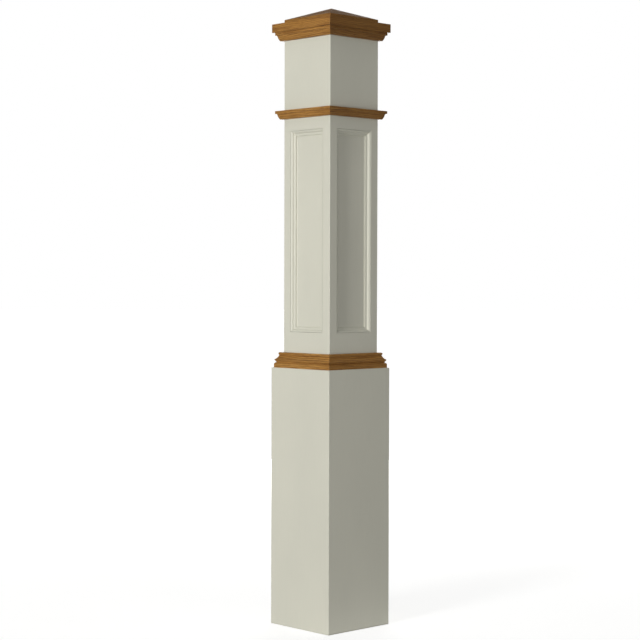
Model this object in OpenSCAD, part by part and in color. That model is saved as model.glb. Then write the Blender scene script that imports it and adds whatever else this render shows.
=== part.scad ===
// Box newel post: a hollow square post of mitred boards with recessed panels, a wider boxed
// base, three mitred oak mouldings and a low pyramid cap.
// Millimetres, +Z up, origin on the floor at the post's centre line, front face towards -Y.

/* [Post] */
// Overall height, floor to the tip of the cap
post_h = 1396; // [1350:1:1500]
// Width of the square base box
base_w = 190; // [180:1:200]
// Thickness of the base boards and of the shaft boards
board_t = 20; // [18:0.5:20.5]
// Height of the base box
base_h = 584; // [300:1:600]

/* [Recessed panels] */
// Visible width of the stile on each side of a panel
stile_w = 21.5; // [21:0.5:36]
// Height of the lower edge of the panel openings
panel_bottom_z = 665; // [650:1:760]
// Height of the upper edge of the panel openings
panel_top_z = 1118; // [1000:1:1130]
// How far the panel's face lies below the shaft's face
panel_depth = 9.5; // [6:0.5:12]
// Width of the moulding round the panel
panel_mould_w = 13.6; // [10:0.1:16]

/* [Oak mouldings] */
// Height of the moulding on top of the base box
base_mould_h = 34.5; // [28:0.5:44]
// Projection of that moulding from the shaft
base_mould_p = 16; // [12:0.5:18]
// Height of the neck moulding and of the matching moulding under the cap
trim_h = 19; // [16:0.5:26]
// Projection of those two mouldings from the shaft
trim_p = 15; // [12:0.5:17.5]
// Height of the underside of the neck moulding
neck_z = 1145.5; // [1140:0.5:1180]

/* [Cap] */
// Width of the square-edged band round the cap
cap_w = 190; // [186:1:210]
// Height of that band
fascia_h = 19; // [16:0.5:26]
// Height of the cap block's upright side above the band
cap_side_h = 10; // [4:0.5:16]
// Rise of the low pyramid
cap_rise = 26; // [16:1:50]

/* [Hidden] */
SIDES = ["front", "right", "back", "left"];
EDGES = ["bottom", "right", "top", "left"];
SIDE_PIECES = ["base_board", "shaft_board", "panel", "base_moulding", "neck_moulding",
               "cap_moulding", "cap_fascia"];

base_r = base_w / 2;             // half width of the base box
shaft_r = base_r - board_t;      // half width of the shaft
cap_r = cap_w / 2;               // half width of the band round the cap
fascia_top_z = post_h - cap_rise - cap_side_h;
cap_z = fascia_top_z - fascia_h; // underside of the cap, top of the shaft boards
panel_r = shaft_r - stile_w;     // half width of a panel opening
panel_h = panel_top_z - panel_bottom_z;
arc_steps = 8;                   // straight facets in each curved stretch of a moulding
overcut = 1;                     // how far an opening's cut runs past the faces it cuts
paint = [0.81, 0.80, 0.74];
oak = [0.62, 0.42, 0.22];

// Points on an arc from p to q that bows by s to the right of the way from p to q
function bow(p, q, s) =
    let (chord = norm(q - p), along = (q - p) / chord, side = [along[1], -along[0]],
         r = (chord * chord / 4 + s * s) / (2 * s), half = asin(chord / 2 / r),
         centre = (p + q) / 2 - side * (r - s))
    [for (i = [0:arc_steps]) let (t = half * (2 * i / arc_steps - 1))
        centre + r * (cos(t) * side + sin(t) * along)];

// Outline of the moulding on the base box, as [projection, height]: a square-footed bead, a
// quirk, a sharp nose, a cove and a small round bead on top
function base_mould_outline(p = base_mould_p, h = base_mould_h) = concat(
    [[0, 0], [p, 0]],
    bow([p, 0.2 * h], [0.8 * p, 0.33 * h], 0.03 * h),
    [[0.75 * p, 0.365 * h], [0.95 * p, 0.49 * h]],
    bow([0.95 * p, 0.53 * h], [0.49 * p, 0.79 * h], -0.03 * h),
    bow([0.44 * p, 0.82 * h], [0.44 * p, h], 0.055 * h),
    [[0, h]]);

// Outline of the neck and cap mouldings: a flat toe, an ovolo, a step, a small cove and a fillet
function trim_outline(p = trim_p, h = trim_h) = concat(
    [[0, 0]],
    bow([0.44 * p, 0], [0.74 * p, 0.56 * h], 0.045 * h),
    [[0.78 * p, 0.56 * h]],
    bow([0.78 * p, 0.61 * h], [0.88 * p, 0.67 * h], -0.015 * h),
    [[p, 0.67 * h], [p, h], [0, h]]);

// Outline of a panel moulding, as [distance in from the board's edge, height above the panel],
// from the panel outwards: a shallow hollow, a step with a narrow groove at its foot, a flat
// that hollows up to an ovolo, and a narrow groove against the board
function panel_mould_outline(w = panel_mould_w, d = panel_depth) = concat(
    [[0, 0]],
    bow([w, 0], [0.88 * w, 0.09 * d], -0.012 * d),
    [[0.85 * w, 0.04 * d], [0.82 * w, 0.31 * d]],
    bow([0.62 * w, 0.35 * d], [0.44 * w, 0.43 * d], -0.015 * d),
    bow([0.39 * w, 0.64 * d], [0.07 * w, 0.95 * d], 0.05 * d),
    [[0.04 * w, 0.95 * d], [0, 0.7 * d]]);

// Turns what is drawn on the front to one of the four sides
module on_side(i) rotate([0, 0, 90 * i]) children();

// A board with mitred edges on the front of a square box with outer half width r
module mitred_board(r, t, h)
    linear_extrude(height = h) polygon([[-r, -r], [r, -r], [r - t, t - r], [t - r, t - r]]);

// One side of a moulding round a square of half width r: the outline's projection points
// outwards from the square, and both ends are mitred on the corners' diagonals
module mitred_moulding(r, reach, h, outline) {
    out = r + reach;
    intersection() {
        translate([0, -r, 0]) rotate([90, 0, -90])
            linear_extrude(height = 2 * out, center = true) polygon(outline);
        linear_extrude(height = h) polygon([[0, 0], [-out, -out], [out, -out]]);
    }
}

module base_board(i) color(paint) on_side(i) mitred_board(base_r, board_t, base_h);

module shaft_board(i) color(paint) on_side(i) difference() {
    mitred_board(shaft_r, board_t, cap_z);
    translate([-panel_r, -shaft_r - overcut, panel_bottom_z])
        cube([2 * panel_r, board_t + 2 * overcut, panel_h]);
}

module panel(i) color(paint) on_side(i)
    translate([-panel_r, panel_depth - shaft_r, panel_bottom_z])
        cube([2 * panel_r, board_t - panel_depth, panel_h]);

// One of the four lengths round a panel: edge 0 lies along the bottom, 1 up the right-hand
// side, 2 along the top and 3 up the left-hand side
module panel_mould(i, edge) {
    upright = edge % 2 == 1;
    half_l = (upright ? panel_h : 2 * panel_r) / 2;
    offset_to_edge = upright ? panel_r : panel_h / 2;
    color(paint) on_side(i)
        translate([0, panel_depth - shaft_r, panel_bottom_z + panel_h / 2]) rotate([90, 0, 0])
            rotate([0, 0, 90 * edge]) translate([0, -offset_to_edge, 0]) intersection() {
                rotate([90, 0, 90]) linear_extrude(height = 2 * half_l, center = true)
                    polygon(panel_mould_outline());
                linear_extrude(height = panel_depth)
                    polygon([[-half_l, 0], [half_l, 0], [half_l - panel_mould_w, panel_mould_w],
                             [panel_mould_w - half_l, panel_mould_w]]);
            }
}

module base_moulding(i) color(oak) on_side(i) translate([0, 0, base_h])
    mitred_moulding(shaft_r, base_mould_p, base_mould_h, base_mould_outline());

module trim_moulding(i, z) color(oak) on_side(i) translate([0, 0, z])
    mitred_moulding(shaft_r, trim_p, trim_h, trim_outline());

module neck_moulding(i) trim_moulding(i, neck_z);

module cap_moulding(i) trim_moulding(i, cap_z - trim_h);

module cap_fascia(i) color(oak) on_side(i)
    translate([0, 0, cap_z]) mitred_board(cap_r, cap_r - shaft_r, fascia_h);

// Square block with a pyramid top: two gabled prisms at right angles, where they cross
module cap_block() color(oak) intersection_for(turn = [0, 90]) rotate([90, 0, turn])
    linear_extrude(height = 2 * shaft_r, center = true)
        polygon([[-shaft_r, cap_z], [shaft_r, cap_z], [shaft_r, post_h - cap_rise],
                 [0, post_h], [-shaft_r, post_h - cap_rise]]);

for (i = [0:3]) {
    base_board(i);
    shaft_board(i);
    panel(i);
    base_moulding(i);
    neck_moulding(i);
    cap_moulding(i);
    cap_fascia(i);
    for (e = [0:3])
        panel_mould(i, e);
}
cap_block();
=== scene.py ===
"""Looks of the box newel post: painted boards and panels, with mitred oak mouldings and cap.

Every piece is rebuilt in mesh code at the size and place of its CAD node, with eased arrises
and finer mouldings, and carries its own grain direction for the two procedural finishes.
"""

import math
import random

import bmesh
import bpy
import numpy as np
from mathutils import Matrix, Vector


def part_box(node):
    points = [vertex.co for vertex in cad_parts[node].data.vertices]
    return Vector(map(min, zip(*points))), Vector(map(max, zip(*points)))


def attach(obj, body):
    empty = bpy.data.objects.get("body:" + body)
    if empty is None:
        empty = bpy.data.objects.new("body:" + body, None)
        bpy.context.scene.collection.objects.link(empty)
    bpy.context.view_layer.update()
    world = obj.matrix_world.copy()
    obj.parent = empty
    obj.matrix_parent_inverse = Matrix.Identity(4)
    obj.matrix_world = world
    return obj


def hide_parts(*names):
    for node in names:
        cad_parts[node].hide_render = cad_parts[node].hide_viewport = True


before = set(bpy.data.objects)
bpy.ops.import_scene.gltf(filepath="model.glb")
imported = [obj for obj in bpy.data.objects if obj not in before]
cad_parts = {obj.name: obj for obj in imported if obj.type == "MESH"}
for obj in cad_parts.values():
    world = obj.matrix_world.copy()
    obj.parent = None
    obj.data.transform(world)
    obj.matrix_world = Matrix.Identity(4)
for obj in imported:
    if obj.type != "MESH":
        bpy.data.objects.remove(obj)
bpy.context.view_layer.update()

SIDES = ("front", "right", "back", "left")
EDGES = ("bottom", "right", "top", "left")
MM = 0.001

# ---------------------------------------------------------------- sizes taken from the frame

base_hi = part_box("front_base_board")[1]
shaft_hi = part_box("front_shaft_board")[1]
panel_lo, panel_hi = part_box("front_panel")
panel_mould_lo, panel_mould_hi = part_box("front_panel_mould_bottom")
base_mould_lo, base_mould_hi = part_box("front_base_moulding")
neck_lo, neck_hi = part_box("front_neck_moulding")
cap_mould_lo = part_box("front_cap_moulding")[0]
fascia_lo, fascia_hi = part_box("front_cap_fascia")
block_lo, block_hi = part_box("cap_block")

base_r = base_hi.x           # half widths of the base box, the shaft, the cap's band
shaft_r = shaft_hi.x
cap_r = fascia_hi.x
panel_r = panel_hi.x         # and a panel opening
panel_depth = panel_lo.y + shaft_r
panel_mould_w = panel_mould_hi.z - panel_mould_lo.z
on_block_side = 0.99 * block_hi.x    # a corner of the cap block past here is on its side
block_side_z = max(v.co.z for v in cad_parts["cap_block"].data.vertices
                   if v.co.x > on_block_side)

# How far the edges are eased, by a plane or by coats of paint
PAINT_EASE = 0.25 * MM
OAK_EASE = 0.25 * MM
BOARD_ARRIS = 1.4 * MM       # where two painted boards meet at a corner
OAK_ARRIS = 0.6 * MM         # where two lengths of oak meet at a corner
CAP_TIP = 0.8 * MM           # half width of the blunt tip of the pyramid
TIP_ROUND = 0.7              # how round the pyramid's corners may be, as a share of its half width
JOINT = 0.04 * MM            # half the width of a glued joint

# How closely the meshes follow these roundings
EASE_TURNS = (0, 30, 60, 90)     # degrees round an eased edge
ARRIS_TURNS = (0, 15, 30, 45)    # degrees from a face to the middle of the rounded corner
OUTLINE_ERROR = 0.006 * MM       # how far a thinned outline may stray from its path
WELD = 0.0005 * MM               # points nearer than this are one point
SHARP_FROM = math.radians(32)    # edges that turn by more than this stay sharp

# How dark each length of oak is, from 0 to 1, in the order of SIDES. The high values on the
# right side (neck moulding, cap moulding, fascia) are painted shade for that shaded side; the
# other values are the wood's own tone.
OAK_TONES_AND_SHADE = {"base_moulding": (0.1, 0.1, 0.5, 0.1),
             "neck_moulding": (0.1, 0.6, 0.2, 0.3),
             "cap_moulding": (0.1, 0.8, 0.3, 0.4),
             "cap_fascia": (0.0, 0.75, 0.4, 0.2)}
CAP_BLOCK_TONE = 0.5

chance = random.Random(11)


# ---------------------------------------------------------------- outlines

def bow(p, q, s, steps=24):
    """Points on an arc from p to q that bows by s to the right of the way from p to q."""
    p, q = Vector(p), Vector(q)
    chord = (q - p).length
    along = (q - p) / chord
    side = Vector((along.y, -along.x))
    r = (chord * chord / 4 + s * s) / (2 * s)
    half = math.asin(chord / 2 / r)
    centre = (p + q) / 2 - side * (r - s)
    turns = [half * (2 * i / steps - 1) for i in range(steps + 1)]
    return [tuple(centre + side * r * math.cos(t) + along * r * math.sin(t)) for t in turns]


def base_mould_outline(p, h):
    """(projection, height): a square-footed bead, a quirk, a sharp nose, a cove and a small bead."""
    return [(0, 0), (p, 0),
            *bow((p, 0.2 * h), (0.8 * p, 0.33 * h), 0.03 * h),
            (0.75 * p, 0.365 * h), (0.95 * p, 0.49 * h),
            *bow((0.95 * p, 0.53 * h), (0.49 * p, 0.79 * h), -0.03 * h),
            *bow((0.44 * p, 0.82 * h), (0.44 * p, h), 0.055 * h),
            (0, h)]


def trim_outline(p, h):
    """(projection, height): a flat toe, an ovolo, a step, a small cove and a fillet."""
    return [(0, 0),
            *bow((0.44 * p, 0), (0.74 * p, 0.56 * h), 0.045 * h),
            (0.78 * p, 0.56 * h),
            *bow((0.78 * p, 0.61 * h), (0.88 * p, 0.67 * h), -0.015 * h),
            (p, 0.67 * h), (p, h), (0, h)]


def panel_mould_outline(w, d):
    """(distance in from the board's edge, height above the panel), from the panel outwards."""
    return [(0, 0),
            *bow((w, 0), (0.88 * w, 0.09 * d), -0.012 * d),
            (0.85 * w, 0.04 * d), (0.82 * w, 0.31 * d),
            *bow((0.62 * w, 0.35 * d), (0.44 * w, 0.43 * d), -0.015 * d),
            *bow((0.39 * w, 0.64 * d), (0.07 * w, 0.95 * d), 0.05 * d),
            (0.04 * w, 0.95 * d), (0, 0.7 * d)]


def board_outline(thickness, h):
    """(projection, height) of a plain board whose front is at projection 0."""
    return [(-thickness, 0), (0, 0), (0, h), (-thickness, h)]


def thinned(points, error):
    """Enough of these points to keep the line within error of its path."""
    if len(points) < 3:
        return points
    start, chord = points[0], points[-1] - points[0]
    reach = points - start
    far = np.abs(reach[:, 0] * chord[1] - reach[:, 1] * chord[0]) / np.linalg.norm(chord)
    worst = int(far.argmax())
    if far[worst] < error:
        return points[[0, -1]]
    return np.vstack([thinned(points[:worst + 1], error)[:-1], thinned(points[worst:], error)])


def softened(outline, ease):
    """The outline with each corner rounded over about ease. Its two ends stay where they are.

    Points are set along it at even steps, averaged twice with their neighbours and thinned out.
    """
    steps_in_ease = 6
    points = np.array([tuple(p) for p in outline], float)
    lengths = np.linalg.norm(np.diff(points, axis=0), axis=1)
    along = np.concatenate([[0], np.cumsum(lengths)])
    places = np.linspace(0, along[-1], int(along[-1] / (ease / steps_in_ease)) + 1)
    dense = np.stack([np.interp(places, along, points[:, k]) for k in (0, 1)], axis=1)
    average = np.ones(steps_in_ease + 1) / (steps_in_ease + 1)
    twice = np.convolve(average, average)
    margin = len(twice) // 2
    held = np.pad(dense, ((margin, margin), (0, 0)), mode="reflect", reflect_type="odd")
    smooth = np.stack([np.convolve(held[:, k], twice, "valid") for k in (0, 1)], axis=1)
    return thinned(smooth, OUTLINE_ERROR)


# ---------------------------------------------------------------- meshes

def solid(name, rings, grain, turn, ends=True, tone_and_shade=0.0):
    """A closed solid from rings of points, as an object that carries each point's grain place.

    grain turns a point of the unturned piece into (along, across, through) the wood, turn sets
    the piece on its side of the post, and the last argument darkens the wood: its own tone, and
    on most of the right side's oak also painted shade. The rings close on themselves where ends
    is false, as in a frame round an opening. Each piece is cut from its own place in the tree.
    """
    mesh = bpy.data.meshes.new(name)
    bm = bmesh.new()
    grain_layer = bm.verts.layers.float_vector.new("grain")
    tone_and_shade_layer = bm.verts.layers.float.new("tone_and_shade")
    cut_from = Vector((chance.uniform(-3, 3), chance.uniform(-0.03, 0.03),
                       chance.uniform(0.05, 0.11)))
    rows = []
    for ring in rings:
        row = []
        for point in ring:
            vert = bm.verts.new(turn @ Vector(point))
            vert[grain_layer] = Vector(grain(point)) + cut_from
            vert[tone_and_shade_layer] = tone_and_shade
            row.append(vert)
        rows.append(row)
    count = len(rows[0])
    pairs = list(zip(rows, rows[1:]))
    if ends:
        bm.faces.new(rows[0])
        bm.faces.new(rows[-1])
    else:
        pairs.append((rows[-1], rows[0]))
    for row, following in pairs:
        for k in range(count):
            after = (k + 1) % count
            bm.faces.new((row[k], row[after], following[after], following[k]))
    bmesh.ops.remove_doubles(bm, verts=bm.verts, dist=WELD)
    bmesh.ops.recalc_face_normals(bm, faces=bm.faces)
    bm.to_mesh(mesh)
    bm.free()
    mesh.shade_smooth()
    mesh.set_sharp_from_angle(angle=SHARP_FROM)
    piece = bpy.data.objects.new(name, mesh)
    bpy.context.scene.collection.objects.link(piece)
    normals = piece.modifiers.new("flat_faces_stay_flat", "WEIGHTED_NORMAL")
    normals.keep_sharp = True
    return piece


def side_turn(i):
    """Turns what is built on the front to side i."""
    return Matrix.Rotation(math.radians(90) * i, 4, "Z")


def along_x(point):
    """The grain place of a point in wood that lies level."""
    return point[0], point[2], point[1]


def along_z(point):
    """The grain place of a point in wood that stands upright."""
    return point[2], point[0], point[1]


def mitred_run(name, i, r, z, outline, arris, grain, tone_and_shade=0.0):
    """A length of one section on side i of a square of half width r, mitred at both corners.

    The arris where two lengths meet is rounded: each length carries half of the round.
    """
    back = outline[0][0]
    right_end = []
    for turn in reversed(ARRIS_TURNS):
        s, c = math.sin(math.radians(turn)), math.cos(math.radians(turn))
        ring = []
        for p, h in outline:
            e = arris if p > back + arris else 0
            x = r + p - e * (1 - s) - JOINT
            ring.append((x, -(r + p - e * (1 - c)), z + h))
        right_end.append(ring)
    left_end = [[(-x, y, h) for x, y, h in ring] for ring in right_end]
    return solid(name, left_end + right_end[::-1], grain, side_turn(i), tone_and_shade=tone_and_shade)


def upright_loop(half_w, z_lo, z_hi, y):
    """The corners of an upright rectangle that faces the front."""
    return [(-half_w, y, z_lo), (half_w, y, z_lo), (half_w, y, z_hi), (-half_w, y, z_hi)]


def shaft_board(i):
    """A mitred board with an opening for its panel: rectangular loops all round its section."""
    top = shaft_hi.z
    front, back = -shaft_r, shaft_hi.y
    z_lo, z_hi = panel_lo.z, panel_hi.z
    loops = [upright_loop(panel_r, z_lo, z_hi, back)]
    for turn in EASE_TURNS:
        grow = PAINT_EASE * (1 - math.cos(math.radians(turn)))
        sink = PAINT_EASE * (1 - math.sin(math.radians(turn)))
        loops.append(upright_loop(panel_r + grow, z_lo - grow, z_hi + grow, front + sink))
    for turn in ARRIS_TURNS:
        s, c = math.sin(math.radians(turn)), math.cos(math.radians(turn))
        gap = JOINT if turn == ARRIS_TURNS[-1] else 0
        half_w = shaft_r - BOARD_ARRIS * (1 - s) - gap
        loops.append(upright_loop(half_w, 0, top, front + BOARD_ARRIS * (1 - c)))
    loops.append(upright_loop(-back - JOINT, 0, top, back))
    return solid(f"{SIDES[i]}_shaft_board_painted", loops, along_z, side_turn(i), ends=False)


def panel(i):
    """The flat panel behind an opening, with its front edges eased."""
    back, front = panel_hi.y, panel_lo.y
    loops = [upright_loop(panel_r, panel_lo.z, panel_hi.z, back)]
    for turn in EASE_TURNS:
        inset = PAINT_EASE * (1 - math.cos(math.radians(turn)))
        sink = PAINT_EASE * (1 - math.sin(math.radians(turn)))
        loops.append(upright_loop(panel_r - inset, panel_lo.z + inset, panel_hi.z - inset,
                                  front + sink))
    return solid(f"{SIDES[i]}_panel_painted", loops, along_z, side_turn(i))


def panel_mould(i, edge):
    """One of the four mitred lengths round a panel, made lying along the opening's lower edge."""
    half_h = (panel_hi.z - panel_lo.z) / 2
    upright = EDGES[edge] in ("right", "left")
    half_l, to_edge = (half_h, panel_r) if upright else (panel_r, half_h)
    outline = softened(panel_mould_outline(panel_mould_w, panel_depth), PAINT_EASE)
    rings = []
    for end in (-1, 1):
        rings.append([(end * (half_l - q - JOINT), q, h) for q, h in outline])
    middle = Matrix.Translation((0, panel_lo.y, (panel_lo.z + panel_hi.z) / 2))
    to_place = (side_turn(i) @ middle @ Matrix.Rotation(math.radians(90), 4, "X")
                @ Matrix.Rotation(math.radians(90) * edge, 4, "Z")
                @ Matrix.Translation((0, -to_edge, 0)))
    return solid(f"{SIDES[i]}_panel_mould_{EDGES[edge]}_painted", rings, lambda p: p, to_place)


def rounded_square(half, radius, z, steps=4):
    """Points round a level square with rounded corners."""
    ring = []
    for corner in range(4):
        turn = Matrix.Rotation(math.radians(90) * corner, 2)
        for k in range(steps + 1):
            a = math.radians(90) * k / steps
            spot = turn @ Vector((half - radius * (1 - math.cos(a)),
                                  half - radius * (1 - math.sin(a))))
            ring.append((spot.x, spot.y, z))
    return ring


def cap_block():
    """The square block with its low pyramid top, its hips and edges slightly rounded."""
    drop = CAP_TIP * (block_hi.z - block_side_z) / shaft_r
    outline = softened([(shaft_r, block_lo.z), (shaft_r, block_side_z),
                        (CAP_TIP, block_hi.z - drop)], 2 * OAK_EASE)
    rings = [rounded_square(half, min(OAK_ARRIS, TIP_ROUND * half), z) for half, z in outline]
    return solid("cap_block_oak", rings, lambda p: p, Matrix.Identity(4), tone_and_shade=CAP_BLOCK_TONE)


# ---------------------------------------------------------------- finishes

class Graph:
    """Short calls that add nodes to a material and join them up."""

    def __init__(self, name):
        self.material = bpy.data.materials.new(name)
        self.material.use_nodes = True
        self.nodes = self.material.node_tree.nodes
        self.links = self.material.node_tree.links
        self.shader = self.nodes["Principled BSDF"]

    def put(self, socket, value):
        """Joins a socket to another node's output, or sets it to a plain value."""
        if isinstance(value, bpy.types.NodeSocket):
            self.links.new(value, socket)
        else:
            socket.default_value = value

    def node(self, kind, inputs=None, **settings):
        made = self.nodes.new(kind)
        for key, value in settings.items():
            setattr(made, key, value)
        for key, value in (inputs or {}).items():
            self.put(made.inputs[key], value)
        return made

    def attribute(self, name):
        return self.node("ShaderNodeAttribute", attribute_name=name)

    def math(self, operation, a, b=0.0):
        return self.node("ShaderNodeMath", {0: a, 1: b}, operation=operation).outputs[0]

    def vector(self, operation, a, b):
        return self.node("ShaderNodeVectorMath", {0: a, 1: b}, operation=operation).outputs[0]

    def noise(self, place, scale, detail=2.0, roughness=0.5):
        """Noise from 0 to 1; scale is waves per metre (along, across, through) the wood."""
        stretched = self.vector("MULTIPLY", place, scale)
        made = self.node("ShaderNodeTexNoise", {"Vector": stretched, "Scale": 1.0, "Detail": detail,
                                                "Roughness": roughness})
        return made.outputs[0]

    def span(self, value, low, high, to_low=0.0, to_high=1.0):
        """value from low to high becomes to_low to to_high, eased at both ends."""
        made = self.node("ShaderNodeMapRange", {"Value": value, "From Min": low, "From Max": high,
                                                "To Min": to_low, "To Max": to_high},
                         interpolation_type="SMOOTHSTEP")
        return made.outputs[0]

    def blend(self, amount, a, b):
        """Colour a where amount is 0, and b where it is 1."""
        made = self.node("ShaderNodeMix", data_type="RGBA")
        self.put(made.inputs[0], amount)
        self.put(made.inputs[6], a)
        self.put(made.inputs[7], b)
        return made.outputs[2]

    def bump(self, height, distance, strength):
        inputs = {"Height": height, "Distance": distance, "Strength": strength}
        return self.node("ShaderNodeBump", inputs).outputs[0]

    def finish(self, **inputs):
        """Sets the shader's inputs, with _ for each space in a name, and returns the material."""
        for key, value in inputs.items():
            self.put(self.shader.inputs[key.replace("_", " ")], value)
        return self.material


def painted_wood():
    """Satin cream paint, sprayed and lightly brushed along each board's length."""
    g = Graph("satin_cream_paint")
    place = g.attribute("grain").outputs["Vector"]
    cloud = g.noise(place, (2.5, 6, 6), detail=3)
    brush = g.noise(place, (25, 900, 900), detail=2)
    stipple = g.noise(place, (650, 650, 650), detail=2)
    shade = g.math("ADD", g.span(cloud, 0.3, 0.7, 0.0, 0.7), g.span(brush, 0.3, 0.7, 0.0, 0.3))
    cream, pale_cream = (0.665, 0.655, 0.555, 1), (0.705, 0.692, 0.585, 1)
    colour = g.blend(shade, cream, pale_cream)
    height = g.math("ADD", g.math("MULTIPLY", brush, 0.5), stipple)
    return g.finish(Base_Color=colour,
                    Roughness=g.span(g.math("ADD", cloud, stipple), 0.7, 1.3, 0.4, 0.5),
                    Normal=g.bump(height, 0.05 * MM, strength=0.5),
                    Specular_IOR_Level=0.4)


def stained_oak():
    """Oak with a honey stain and satin lacquer: growth rings, dark pores, rays and fibres."""
    g = Graph("honey_oak")
    place = g.attribute("grain").outputs["Vector"]
    tone_and_shade = g.attribute("tone_and_shade").outputs["Fac"]
    ring_width = 3.6 * MM
    amber, honey, ray_gold = (0.43, 0.205, 0.043, 1), (0.53, 0.270, 0.066, 1), (0.58, 0.33, 0.10, 1)
    brown, fibre_brown = (0.23, 0.095, 0.016, 1), (0.25, 0.105, 0.018, 1)
    deep_brown, pore_black = (0.12, 0.050, 0.010, 1), (0.085, 0.032, 0.008, 1)

    # Growth rings: distance from the pith, which wanders along the length
    wander = g.noise(place, (3.5, 14, 14), detail=2)
    ripple = g.noise(place, (14, 70, 70), detail=2)
    split = g.node("ShaderNodeSeparateXYZ", {0: place})
    across, through = split.outputs[1], split.outputs[2]
    radius = g.math("SQRT", g.math("ADD", g.math("MULTIPLY", across, across),
                                   g.math("MULTIPLY", through, through)))
    radius = g.math("ADD", radius, g.math("MULTIPLY", wander, 0.030))
    radius = g.math("ADD", radius, g.math("MULTIPLY", ripple, 0.0025))
    ring = g.math("FRACT", g.math("DIVIDE", radius, ring_width))
    early = g.math("MULTIPLY", g.span(ring, 0.0, 0.08), g.span(ring, 0.3, 0.62, 1.0, 0.0))

    # Pores crowd into the early wood as short dark dashes; a few are scattered in the rest
    dash = g.noise(place, (55, 2600, 2600), detail=1)
    crowd = g.span(dash, 0.5, 0.62)
    pores = g.math("MULTIPLY", crowd, g.math("ADD", g.math("MULTIPLY", early, 0.85), 0.15))
    fibre = g.noise(place, (32, 620, 620), detail=3, roughness=0.65)
    streak = g.noise(place, (6, 250, 250), detail=3, roughness=0.6)
    rays = g.span(g.noise(place, (190, 420, 60), detail=1), 0.66, 0.74)
    patch = g.noise(place, (6, 30, 30), detail=2)

    colour = g.blend(g.span(patch, 0.3, 0.7), amber, honey)
    colour = g.blend(g.span(streak, 0.51, 0.63, 0.0, 0.78), colour, brown)
    colour = g.blend(g.math("MULTIPLY", early, 0.45), colour, brown)
    colour = g.blend(g.span(fibre, 0.42, 0.62, 0.0, 0.62), colour, fibre_brown)
    colour = g.blend(g.math("MULTIPLY", rays, 0.35), colour, ray_gold)
    colour = g.blend(g.math("MULTIPLY", pores, 0.75), colour, pore_black)
    # Darker towards deep brown by each piece's darkness value: the wood's own tone, and painted
    # shade on the right side's neck moulding, cap moulding and fascia
    colour = g.blend(g.span(tone_and_shade, 0.0, 1.0, 0.0, 0.6), colour, deep_brown)

    height = g.math("SUBTRACT", g.math("MULTIPLY", fibre, 0.35), pores)
    rough = g.math("ADD", g.span(streak, 0.3, 0.7, 0.42, 0.52), g.math("MULTIPLY", pores, 0.15))
    return g.finish(Base_Color=colour, Roughness=rough,
                    Normal=g.bump(height, 0.08 * MM, strength=0.6),
                    Specular_IOR_Level=0.35, Coat_Weight=0.1, Coat_Roughness=0.35)


# ---------------------------------------------------------------- the post

PAINT = painted_wood()
OAK = stained_oak()


def finish_piece(piece, node, material):
    """Gives a piece its finish, and lets it stand for its CAD node."""
    piece.data.materials.append(material)
    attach(piece, "root")
    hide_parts(node)


def build_side(i):
    """The eleven pieces of one side of the post, each in its finish."""
    side = SIDES[i]
    board = softened(board_outline(base_hi.y + base_r, base_hi.z), BOARD_ARRIS)
    finish_piece(mitred_run(f"{side}_base_board_painted", i, base_r, 0, board, BOARD_ARRIS, along_z),
                 f"{side}_base_board", PAINT)
    finish_piece(shaft_board(i), f"{side}_shaft_board", PAINT)
    finish_piece(panel(i), f"{side}_panel", PAINT)
    for edge in range(4):
        finish_piece(panel_mould(i, edge), f"{side}_panel_mould_{EDGES[edge]}", PAINT)

    base_mould = base_mould_outline(base_mould_hi.x - shaft_r, base_mould_hi.z - base_mould_lo.z)
    trim = trim_outline(neck_hi.x - shaft_r, neck_hi.z - neck_lo.z)
    band = board_outline(cap_r - shaft_r, fascia_hi.z - fascia_lo.z)
    lengths = (("base_moulding", shaft_r, base_mould_lo.z, base_mould),
               ("neck_moulding", shaft_r, neck_lo.z, trim),
               ("cap_moulding", shaft_r, cap_mould_lo.z, trim),
               ("cap_fascia", cap_r, fascia_lo.z, band))
    for part, r, z, outline in lengths:
        run = mitred_run(f"{side}_{part}_oak", i, r, z, softened(outline, OAK_EASE), OAK_ARRIS,
                         along_x, OAK_TONES_AND_SHADE[part][i])
        finish_piece(run, f"{side}_{part}", OAK)


for i in range(4):
    build_side(i)
finish_piece(cap_block(), "cap_block", OAK)


# ---------------------------------------------------------------- stage, light and camera

FLOOR_RADIUS = 40
FLOOR_COLOUR = (0.5, 0.5, 0.49, 1)
WHITE = (1, 1, 1, 1)
DIM = 0.1                    # strength of the even light from all round

# Each soft light's name, azimuth, distance and height, the height on the post's axis that it faces,
# its width, how tall it is and its watts. The two floor bounces lie beside the base and face a
# point so high that they shine up, as light from a pale floor does.
LIGHTS = (
    ("key", 8, 6.0, 1.25, 0.8, 1.4, 1.6, 247),
    ("right_fill", 88, 3.5, 0.3, 0.6, 1.6, 1.6, 31.5),
    ("overhead", 30, 1.2, 3.6, 0.9, 2.0, 2.0, 15),
    ("back_left", -135, 3.5, 1.1, 0.9, 1.6, 2.4, 60),
    ("back", 200, 3.5, 0.9, 0.9, 1.6, 2.4, 38),
    ("back_high", -135, 3.0, 3.3, 1.2, 2.4, 2.0, 2.5),
    ("floor_bounce_right", 90, 0.146, 0.002, 100, 0.25, 0.1, 0.02),
    ("floor_bounce_front", 0, 0.146, 0.002, 100, 0.25, 0.1, 0.006),
)


def around(azimuth, distance, height):
    """A place round the post: azimuth 0 is in front of it and 90 to its right."""
    a = math.radians(azimuth)
    return Vector((math.sin(a) * distance, -math.cos(a) * distance, height))


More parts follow.
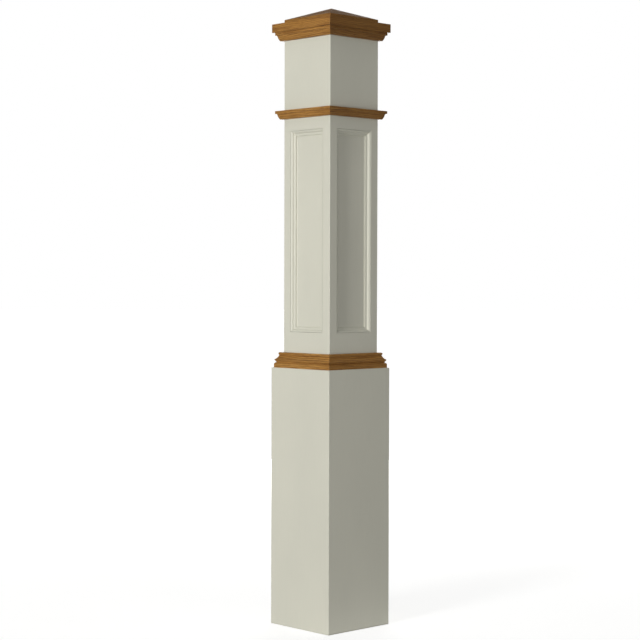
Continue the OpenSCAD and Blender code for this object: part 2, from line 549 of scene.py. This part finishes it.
def pale_floor():
    """A round pale floor. It adds a plain glow for the camera, so that only soft shadow shows.

    The glow grows from near the post to four metres off. From below, the floor is clear.
    """
    bm = bmesh.new()
    bmesh.ops.create_circle(bm, cap_ends=True, segments=96, radius=FLOOR_RADIUS)
    mesh = bpy.data.meshes.new("floor")
    bm.to_mesh(mesh)
    bm.free()
    floor = bpy.data.objects.new("floor", mesh)
    bpy.context.scene.collection.objects.link(floor)
    g = Graph("floor")
    path = g.node("ShaderNodeLightPath")
    place = g.node("ShaderNodeNewGeometry").outputs["Position"]
    far_off = g.node("ShaderNodeVectorMath", {0: place}, operation="LENGTH").outputs["Value"]
    strength = g.span(far_off, 0.6, 4.0, 0.73, 1.0)
    glow = g.node("ShaderNodeEmission",
                  {"Strength": g.math("MULTIPLY", path.outputs["Is Camera Ray"], strength)})
    matt = g.node("ShaderNodeBsdfDiffuse", {"Color": FLOOR_COLOUR})
    lit = g.node("ShaderNodeAddShader", {0: matt.outputs[0], 1: glow.outputs[0]})
    below = g.node("ShaderNodeNewGeometry").outputs["Backfacing"]
    clear = g.node("ShaderNodeBsdfTransparent")
    both = g.node("ShaderNodeMixShader", {0: below, 1: lit.outputs[0], 2: clear.outputs[0]})
    g.links.new(both.outputs[0], g.nodes["Material Output"].inputs["Surface"])
    g.nodes.remove(g.shader)
    mesh.materials.append(g.material)


def softbox(name, azimuth, distance, height, aim, width, tall, watts):
    """A soft light that faces the post's axis at the height aim, unseen by the camera."""
    light = bpy.data.lights.new(name, "AREA")
    light.shape = "RECTANGLE"
    light.size, light.size_y = width, tall
    light.energy = watts
    box = bpy.data.objects.new(name, light)
    box.location = around(azimuth, distance, height)
    facing = Vector((0, 0, aim)) - box.location
    box.rotation_euler = facing.to_track_quat("-Z", "Y").to_euler()
    box.visible_camera = False
    bpy.context.scene.collection.objects.link(box)


def surroundings():
    """White behind the post for the camera, and dim even light from all round."""
    world = bpy.data.worlds.new("surroundings")
    world.use_nodes = True
    tree = world.node_tree
    tree.nodes.clear()
    path = tree.nodes.new("ShaderNodeLightPath")
    white = tree.nodes.new("ShaderNodeBackground")
    white.inputs["Color"].default_value = WHITE
    dim = tree.nodes.new("ShaderNodeBackground")
    dim.inputs["Color"].default_value = WHITE
    dim.inputs["Strength"].default_value = DIM
    mix = tree.nodes.new("ShaderNodeMixShader")
    out = tree.nodes.new("ShaderNodeOutputWorld")
    tree.links.new(path.outputs["Is Camera Ray"], mix.inputs[0])
    tree.links.new(dim.outputs[0], mix.inputs[1])
    tree.links.new(white.outputs[0], mix.inputs[2])
    tree.links.new(mix.outputs[0], out.inputs["Surface"])
    bpy.context.scene.world = world


def add_camera():
    """From the post's front right corner, about four metres off and just above half its height.

    Pan, tilt and roll are degrees away from a level camera that faces the post's axis.
    """
    azimuth, distance, height = 46.219, 3.8887, 0.784
    pan, tilt, roll = 0.352, 1.358, 0.145
    data = bpy.data.cameras.new("camera")
    data.sensor_width = 36
    data.lens = 96.41
    camera = bpy.data.objects.new("camera", data)
    turn = (Matrix.Rotation(math.radians(azimuth + pan), 4, "Z")
            @ Matrix.Rotation(math.radians(90 - tilt), 4, "X")
            @ Matrix.Rotation(math.radians(roll), 4, "Z"))
    camera.matrix_world = Matrix.Translation(around(azimuth, distance, height)) @ turn
    bpy.context.scene.collection.objects.link(camera)
    bpy.context.scene.camera = camera


pale_floor()
surroundings()
for light in LIGHTS:
    softbox(*light)
add_camera()
bpy.context.scene.view_settings.view_transform = "Standard"
